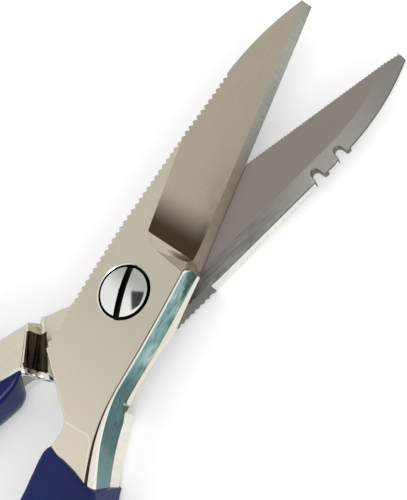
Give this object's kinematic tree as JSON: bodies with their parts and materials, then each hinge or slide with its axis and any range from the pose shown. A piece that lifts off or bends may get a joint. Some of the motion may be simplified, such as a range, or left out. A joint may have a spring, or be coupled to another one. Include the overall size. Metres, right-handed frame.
{
  "type": "poultry shears",
  "caption": "Heavy forged poultry shears: toothed-back plain blade and notched serrated blade on a slotted screw pivot, with dipped vinyl handles.",
  "frame": {"origin": "on the pivot axis, on the plane that the shears lie on (the rear half's outer face)", "axes": "+Z along the pivot axis out of the front face, +Y along the middle of the open blades towards the tips, +X to the right seen from the front"},
  "size_m": [0.1172, 0.2186, 0.016],
  "materials": {
    "polished_steel": "polished, fine ground blade face",
    "ground_steel": "fine ground",
    "vinyl": "glossy dipped vinyl",
    "screw_steel": "mirror polished",
    "spring_steel": "dull"
  },
  "bodies": {
    "front": {"front_half": "polished_steel", "front_grip": "vinyl", "spring_washer": "spring_steel"},
    "rear": {"rear_half": "ground_steel", "rear_grip": "vinyl", "pivot_screw": "screw_steel", "pivot_nut": "screw_steel"}
  },
  "joints": [
    {"name": "pivot", "type": "hinge", "parent": "front", "child": "rear", "pos_m": [0, 0, 0], "axis": [0, 0, 1], "range_deg": [-36, 19]}
  ]
}
